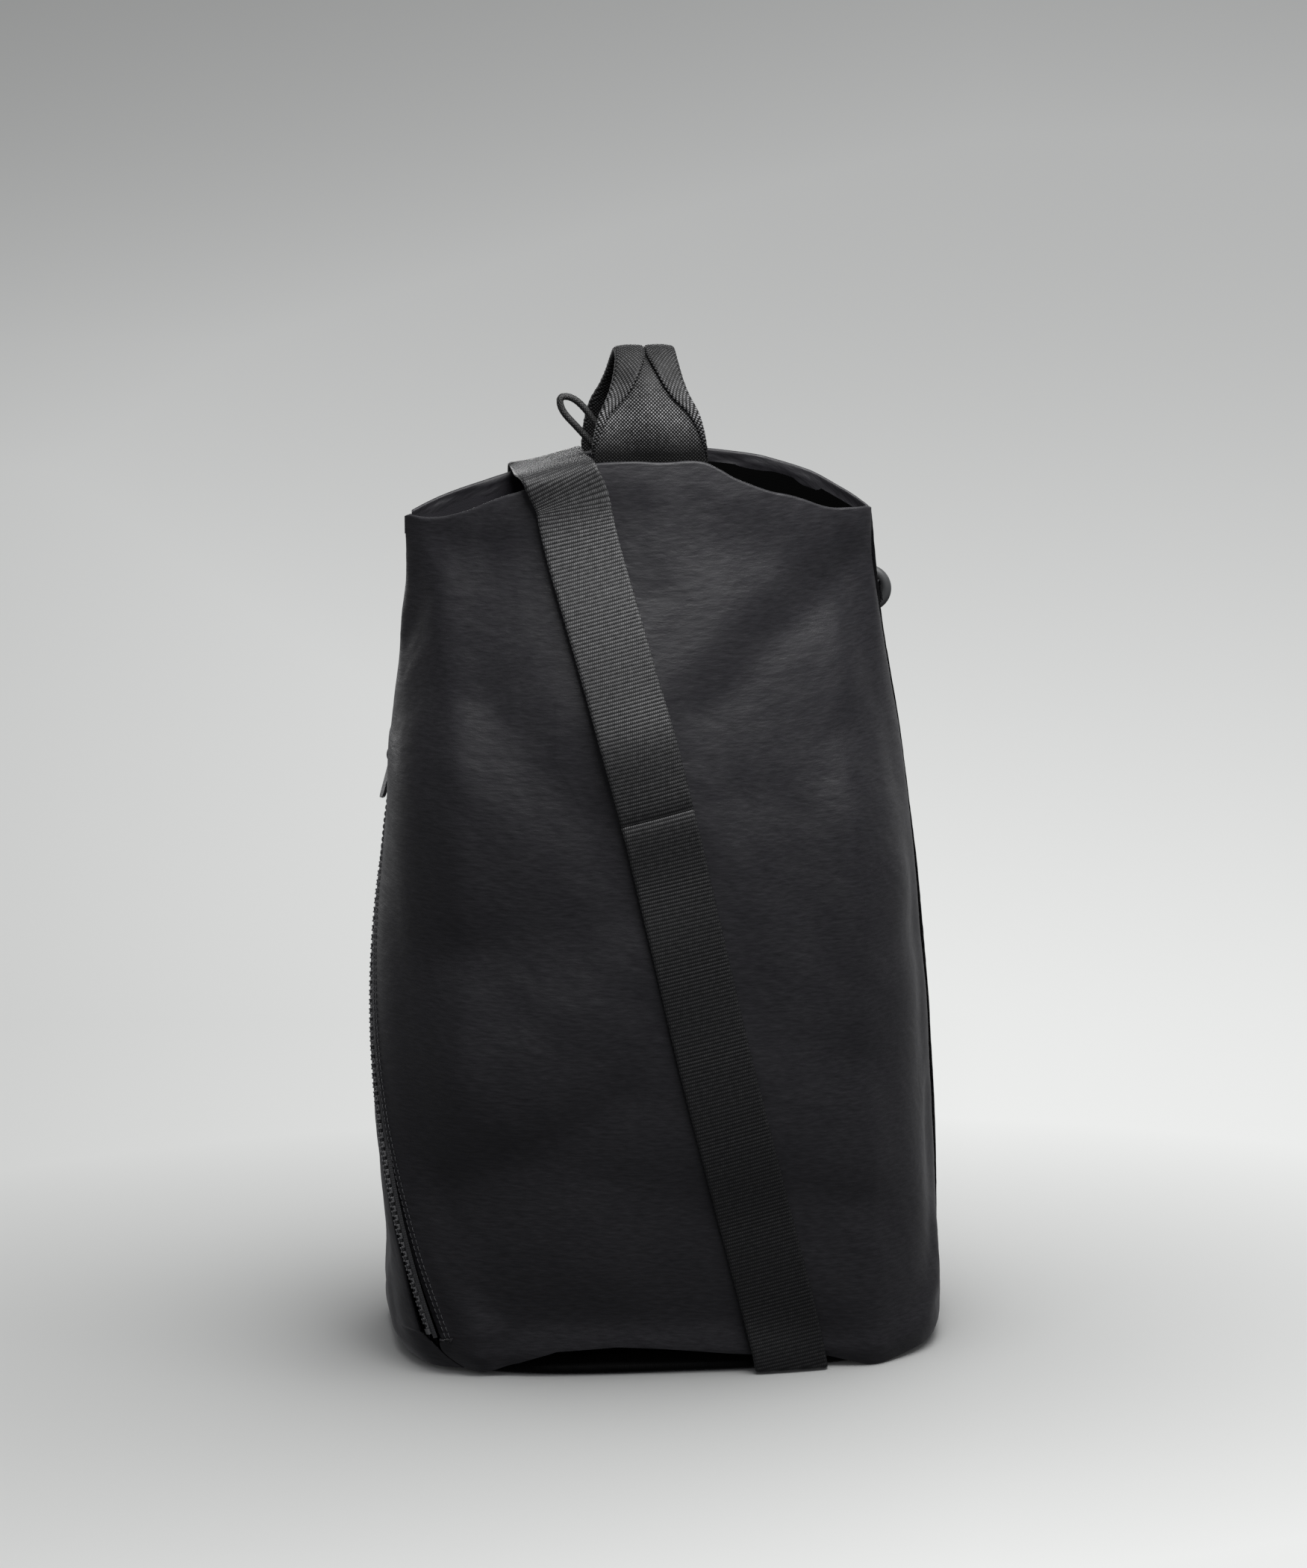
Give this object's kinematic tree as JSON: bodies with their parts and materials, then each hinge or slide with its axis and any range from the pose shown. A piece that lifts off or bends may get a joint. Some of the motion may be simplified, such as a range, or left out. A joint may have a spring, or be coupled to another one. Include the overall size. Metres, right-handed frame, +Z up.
{
  "type": "rope storage bag",
  "caption": "Soft upright storage bag with a lens-shaped zipped mouth, a zipped side, a grab handle, a side ring and a carry strap over the mouth.",
  "frame": {"origin": "middle of the base, on the ground", "axes": "+Z up, -Y towards the face with the slanting strap, +X to that face viewer's right"},
  "size_m": [0.3027, 0.1961, 0.5212],
  "materials": {
    "shell_nylon": "crinkled, soft sheen",
    "base_fabric": "coated, matt",
    "lining_fabric": "plain woven",
    "base_board": "matt",
    "strap_webbing": "ribbed webbing",
    "tab_webbing": "ribbed webbing",
    "handle_webbing": "bright woven webbing",
    "zip_tape": "woven tape",
    "zip_teeth": "moulded",
    "zip_slider": "satin",
    "pull_cord": "braided",
    "pull_sleeve": "satin",
    "ring_plastic": "satin moulded",
    "buckle_plastic": "satin moulded"
  },
  "bodies": {
    "root": {"back_panel": "shell_nylon", "base_board": "base_board", "base_panel": "base_fabric", "front_panel": "shell_nylon", "handle_end_back": "handle_webbing", "handle_end_front": "handle_webbing", "lining": "lining_fabric", "mouth_facing_back": "lining_fabric", "mouth_facing_front": "lining_fabric", "mouth_zip_stops": "zip_teeth", "mouth_zip_tape_back": "zip_tape", "mouth_zip_tape_front": "zip_tape", "mouth_zip_teeth": "zip_teeth", "shoulder_strap": "strap_webbing", "side_ring_tab": "tab_webbing", "side_zip_stops": "zip_teeth", "side_zip_tape_back": "zip_tape", "side_zip_tape_front": "zip_tape", "side_zip_teeth": "zip_teeth", "strap_ring_tab": "strap_webbing"},
    "mouth_slider": {"mouth_zip_slider": "zip_slider"},
    "mouth_pull": {"mouth_zip_pull_cord": "pull_cord", "mouth_zip_pull_sleeve": "pull_sleeve"},
    "side_slider": {"side_zip_slider": "zip_slider"},
    "side_pull": {"side_zip_pull_tab": "zip_slider"},
    "ring": {"side_ring": "ring_plastic"},
    "handle": {"grab_handle": "handle_webbing"},
    "back_ring": {"strap_ring": "buckle_plastic"},
    "adjuster": {"strap_adjuster": "buckle_plastic"}
  },
  "joints": [
    {"name": "mouth_zip_run", "type": "slide", "parent": "root", "child": "mouth_slider", "axis": [1, 0, 0], "range_m": [0, 0.07]},
    {"name": "mouth_pull_swing", "type": "hinge", "parent": "mouth_slider", "child": "mouth_pull", "pos_m": [-0.015, 0, 0.4297], "axis": [0, 1, 0], "range_deg": [0, 85]},
    {"name": "side_zip_run", "type": "hinge", "parent": "root", "child": "side_slider", "pos_m": [0.33962, 0.06912, 0.14191], "axis": [-0.185, 0.9302, -0.3169], "range_deg": [-32.54, 0]},
    {"name": "side_pull_swing", "type": "hinge", "parent": "side_slider", "child": "side_pull", "pos_m": [-0.13658, 0.03064, 0.30686], "axis": [-0.185, 0.9302, -0.3169], "range_deg": [0, 150]},
    {"name": "side_ring_swing", "type": "hinge", "parent": "root", "child": "ring", "pos_m": [0.1085, 0.0175, 0.392], "axis": [-0.1392, 0, 0.9903], "range_deg": [-15, 70]},
    {"name": "handle_lean", "type": "hinge", "parent": "root", "child": "handle", "pos_m": [-0.0074, 0, 0.455], "axis": [0, 1, 0], "range_deg": [0, 30]},
    {"name": "strap_ring_swing", "type": "hinge", "parent": "root", "child": "back_ring", "pos_m": [-0.0572, 0.0962, 0.032], "axis": [1, 0, 0], "range_deg": [-7, 7]},
    {"name": "strap_adjust", "type": "slide", "parent": "root", "child": "adjuster", "axis": [0, -0.0567, 0.9984], "range_m": [-0.055, 0.05]}
  ]
}
